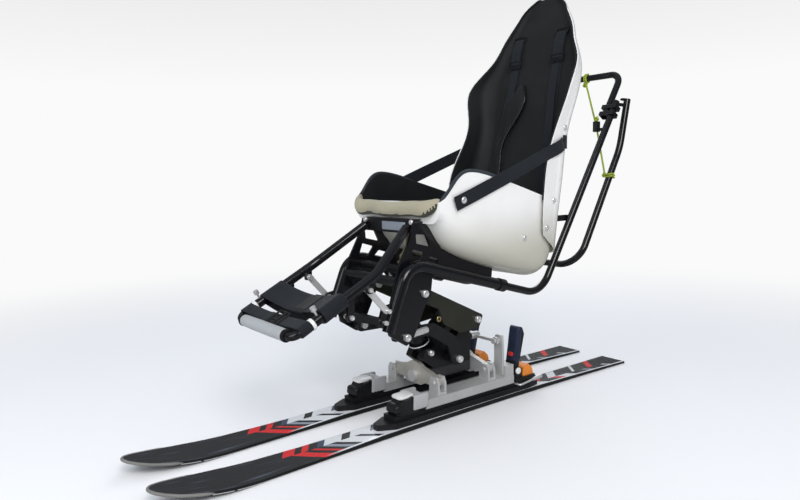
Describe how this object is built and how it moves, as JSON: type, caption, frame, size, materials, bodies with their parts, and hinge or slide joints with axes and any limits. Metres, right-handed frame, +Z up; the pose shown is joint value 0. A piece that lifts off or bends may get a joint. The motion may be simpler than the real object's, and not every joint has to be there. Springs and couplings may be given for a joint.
{
  "type": "sit ski",
  "caption": "Bucket seat on a bent tube frame, carried by a sprung parallel link over a leaning column on a pair of edging skis, with a sliding footrest and a rear handle.",
  "frame": {"origin": "on the ground midway between the two skis, at the middle of the overall length", "axes": "+Z up, +Y towards the ski tails, +X to the sitter's left"},
  "size_m": [0.4364, 1.6274, 1.238],
  "materials": {
    "ski_black": "gloss",
    "riser_black": "satin",
    "binding_black": "gloss",
    "sole_grey": "satin",
    "machined_grey": "satin",
    "heel_orange": "gloss",
    "lever_black": "satin",
    "wire_steel": "bright",
    "arm_taupe": "satin",
    "bolt_steel": "bright",
    "link_olive": "satin",
    "shock_black": "gloss",
    "shock_chrome": "bright",
    "shell_white": "gloss",
    "liner_black": "satin",
    "lip_taupe": "matt",
    "webbing": "matt",
    "tube_black": "gloss",
    "latch_zinc": "bright",
    "cleat_black": "satin",
    "rope_yellow": "matt",
    "roll_grey": "satin"
  },
  "bodies": {
    "cross_arms": {"front_arm": "arm_taupe", "rear_arm": "arm_taupe", "lean_shaft": "machined_grey"},
    "column": {"pivot_housing": "machined_grey", "column": "machined_grey", "column_bolts": "bolt_steel"},
    "left_ski": {"left_ski": "ski_black", "left_riser_plate": "riser_black", "left_toe_piece": "binding_black", "left_sole_beam": "sole_grey", "left_pivot_brackets": "machined_grey", "left_upright": "machined_grey", "left_heel_base": "binding_black", "left_heel_housing": "heel_orange"},
    "left_heel_lever": {"left_heel_lever": "lever_black"},
    "left_brake": {"left_ski_brake": "wire_steel"},
    "left_tie_rod": {"left_tie_rod": "machined_grey"},
    "right_ski": {"right_ski": "ski_black", "right_riser_plate": "riser_black", "right_toe_piece": "binding_black", "right_sole_beam": "sole_grey", "right_pivot_brackets": "machined_grey", "right_upright": "machined_grey", "right_heel_base": "binding_black", "right_heel_housing": "heel_orange"},
    "right_heel_lever": {"right_heel_lever": "lever_black"},
    "right_brake": {"right_ski_brake": "wire_steel"},
    "right_tie_rod": {"right_tie_rod": "machined_grey"},
    "upper_link": {"upper_link": "link_olive"},
    "lower_link": {"lower_link": "machined_grey"},
    "shock_body": {"shock_body": "shock_black"},
    "shock_rod": {"shock_rod": "shock_chrome"},
    "seat_frame": {"left_main_tube": "tube_black", "right_main_tube": "tube_black", "left_side_plate": "tube_black", "right_side_plate": "tube_black", "crossbars": "machined_grey", "lift_latch": "latch_zinc", "frame_bolts": "bolt_steel", "left_rear_tube": "tube_black", "right_rear_tube": "tube_black", "rear_loop": "tube_black", "handle": "tube_black", "rope_cleat": "cleat_black", "rope": "rope_yellow", "rear_brackets": "tube_black", "footrest_legs": "tube_black", "footrest_links": "machined_grey", "footrest_bars": "tube_black", "calf_strap": "webbing", "seat_bucket": "shell_white", "seat_back": "shell_white", "seat_liner": "liner_black", "front_lip": "lip_taupe", "shell_bolts": "bolt_steel", "side_straps": "webbing", "harness": "webbing"},
    "footrest": {"footrest_slider": "tube_black", "foot_roll": "roll_grey", "foot_strap": "webbing"}
  },
  "joints": [
    {"name": "column_lean", "type": "hinge", "parent": "cross_arms", "child": "column", "pos_m": [0, 0.0745, 0.098], "axis": [0, 1, 0], "range_deg": [-20, 20], "stiffness_Nm_per_rad": 300},
    {"name": "left_ski_roll", "type": "hinge", "parent": "cross_arms", "child": "left_ski", "pos_m": [0.095, 0.0745, 0.098], "axis": [0, 1, 0], "range_deg": [-20, 20]},
    {"name": "left_tie_rod_swing", "type": "hinge", "parent": "column", "child": "left_tie_rod", "pos_m": [0, 0.208, 0.176], "axis": [0, 1, 0], "range_deg": [-20, 20]},
    {"name": "left_heel_lever", "type": "hinge", "parent": "left_ski", "child": "left_heel_lever", "pos_m": [0.095, 0.277, 0.074], "axis": [1, 0, 0], "range_deg": [-40, 0]},
    {"name": "left_brake_swing", "type": "hinge", "parent": "left_ski", "child": "left_brake", "pos_m": [0.095, 0.266, 0.038], "axis": [1, 0, 0], "range_deg": [-60, 0]},
    {"name": "right_ski_roll", "type": "hinge", "parent": "cross_arms", "child": "right_ski", "pos_m": [-0.095, 0.0745, 0.098], "axis": [0, 1, 0], "range_deg": [-20, 20]},
    {"name": "right_tie_rod_swing", "type": "hinge", "parent": "column", "child": "right_tie_rod", "pos_m": [0, 0.208, 0.176], "axis": [0, 1, 0], "range_deg": [-20, 20]},
    {"name": "right_heel_lever", "type": "hinge", "parent": "right_ski", "child": "right_heel_lever", "pos_m": [-0.095, 0.277, 0.074], "axis": [1, 0, 0], "range_deg": [-40, 0]},
    {"name": "right_brake_swing", "type": "hinge", "parent": "right_ski", "child": "right_brake", "pos_m": [-0.095, 0.266, 0.038], "axis": [1, 0, 0], "range_deg": [-60, 0]},
    {"name": "link_swing", "type": "hinge", "parent": "column", "child": "lower_link", "pos_m": [0, 0.068, 0.145], "axis": [1, 0, 0], "range_deg": [0, 20], "stiffness_Nm_per_rad": 900, "springref_deg": -4.58},
    {"name": "upper_link_swing", "type": "hinge", "parent": "column", "child": "upper_link", "pos_m": [0, 0.13, 0.254], "axis": [1, 0, 0], "range_deg": [0, 20]},
    {"name": "frame_follow", "type": "hinge", "parent": "lower_link", "child": "seat_frame", "pos_m": [0, -0.15, 0.25], "axis": [1, 0, 0], "range_deg": [-20, 0]},
    {"name": "shock_body_swing", "type": "hinge", "parent": "column", "child": "shock_body", "pos_m": [0, 0, 0.165], "axis": [1, 0, 0], "range_deg": [0, 16]},
    {"name": "shock_rod_swing", "type": "hinge", "parent": "seat_frame", "child": "shock_rod", "pos_m": [0, -0.095, 0.4], "axis": [1, 0, 0], "range_deg": [0, 16]},
    {"name": "footrest_extension", "type": "slide", "parent": "seat_frame", "child": "footrest", "axis": [0, -0.8882, -0.4594], "range_m": [0, 0.06]}
  ],
  "couplings": [
    {"joint": "left_ski_roll", "follows": "column_lean", "ratio": 1},
    {"joint": "right_ski_roll", "follows": "column_lean", "ratio": 1},
    {"joint": "left_tie_rod_swing", "follows": "column_lean", "ratio": -1},
    {"joint": "right_tie_rod_swing", "follows": "column_lean", "ratio": -1},
    {"joint": "upper_link_swing", "follows": "link_swing", "ratio": 1},
    {"joint": "frame_follow", "follows": "link_swing", "ratio": -1},
    {"joint": "shock_body_swing", "follows": "link_swing", "ratio": 0.76},
    {"joint": "shock_rod_swing", "follows": "link_swing", "ratio": 0.76},
    {"joint": "left_brake_swing", "follows": "left_heel_lever", "ratio": 1.5},
    {"joint": "right_brake_swing", "follows": "right_heel_lever", "ratio": 1.5}
  ]
}
